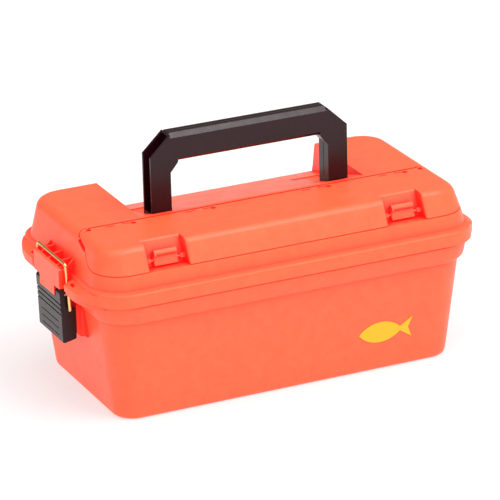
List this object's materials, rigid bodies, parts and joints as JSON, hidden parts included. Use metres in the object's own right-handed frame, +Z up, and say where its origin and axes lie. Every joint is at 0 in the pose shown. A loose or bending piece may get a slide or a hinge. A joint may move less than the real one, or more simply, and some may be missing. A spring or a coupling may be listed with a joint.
{
  "type": "fishing tackle box",
  "caption": "Hard plastic fishing tackle box with a lift-off lid, top compartment, folding handle, end latches and a lift-out tray.",
  "frame": {"origin": "centre of the footprint, on the surface the box stands on", "axes": "+X along the box to the right, +Y to the rear, +Z up"},
  "size_m": [0.381, 0.203, 0.225],
  "materials": {
    "orange_plastic": "satin, faint moulded texture",
    "black_plastic": "satin",
    "divider_plastic": "satin",
    "emblem_yellow": "gloss film",
    "brass_wire": "polished",
    "pin_steel": "brushed",
    "seal_rubber": "matte"
  },
  "bodies": {
    "base": {"base_shell": "orange_plastic", "seal_ring": "seal_rubber", "front_emblem": "emblem_yellow", "left_latch_pin": "pin_steel", "right_latch_pin": "pin_steel"},
    "lid": {"lid_shell": "orange_plastic", "cover_hinge_pins": "brass_wire", "left_handle_pin": "pin_steel", "right_handle_pin": "pin_steel"},
    "cover": {"top_cover": "orange_plastic"},
    "left_tab": {"left_snap_tab": "orange_plastic"},
    "right_tab": {"right_snap_tab": "orange_plastic"},
    "handle": {"carry_handle": "black_plastic"},
    "left_lever": {"left_latch_lever": "black_plastic"},
    "right_lever": {"right_latch_lever": "black_plastic"},
    "left_bail": {"left_bail_wire": "brass_wire"},
    "right_bail": {"right_bail_wire": "brass_wire"},
    "tray": {"lift_out_tray": "orange_plastic", "tray_divider_1": "divider_plastic", "tray_divider_2": "divider_plastic", "tray_divider_3": "divider_plastic", "tray_divider_4": "divider_plastic"}
  },
  "joints": [
    {"name": "lid_lift", "type": "slide", "parent": "base", "child": "lid", "axis": [0, 0, 1], "range_m": [0, 0.045]},
    {"name": "cover_hinge", "type": "hinge", "parent": "lid", "child": "cover", "pos_m": [0, -0.0195, 0.155], "axis": [-1, 0, 0], "range_deg": [0, 90]},
    {"name": "handle_swing", "type": "hinge", "parent": "lid", "child": "handle", "pos_m": [0, 0.001, 0.1468], "axis": [-1, 0, 0], "range_deg": [0, 90]},
    {"name": "left_tab_press", "type": "hinge", "parent": "cover", "child": "left_tab", "pos_m": [-0.1125, -0.07696, 0.14137], "axis": [-1, 0, 0], "range_deg": [0, 8], "stiffness_Nm_per_rad": 0.05},
    {"name": "right_tab_press", "type": "hinge", "parent": "cover", "child": "right_tab", "pos_m": [0.1125, -0.07696, 0.14137], "axis": [-1, 0, 0], "range_deg": [0, 8], "stiffness_Nm_per_rad": 0.05},
    {"name": "left_lever_swing", "type": "hinge", "parent": "base", "child": "left_lever", "pos_m": [-0.1843, 0, 0.104], "axis": [0, 1, 0], "range_deg": [0, 100]},
    {"name": "right_lever_swing", "type": "hinge", "parent": "base", "child": "right_lever", "pos_m": [0.1843, 0, 0.104], "axis": [0, -1, 0], "range_deg": [0, 100]},
    {"name": "left_bail_swing", "type": "hinge", "parent": "left_lever", "child": "left_bail", "pos_m": [-0.1825, 0, 0.0907], "axis": [0, -1, 0], "range_deg": [0, 260]},
    {"name": "right_bail_swing", "type": "hinge", "parent": "right_lever", "child": "right_bail", "pos_m": [0.1825, 0, 0.0907], "axis": [0, 1, 0], "range_deg": [0, 260]},
    {"name": "tray_lift", "type": "slide", "parent": "base", "child": "tray", "axis": [0, 0, 1], "range_m": [0, 0.023]}
  ],
  "couplings": [
    {"joint": "left_lever_swing", "follows": "lid_lift", "rad_per_m": 38.7},
    {"joint": "right_lever_swing", "follows": "lid_lift", "rad_per_m": 38.7},
    {"joint": "left_bail_swing", "follows": "lid_lift", "rad_per_m": 100.8},
    {"joint": "right_bail_swing", "follows": "lid_lift", "rad_per_m": 100.8},
    {"joint": "tray_lift", "follows": "lid_lift", "ratio": 0.5}
  ]
}
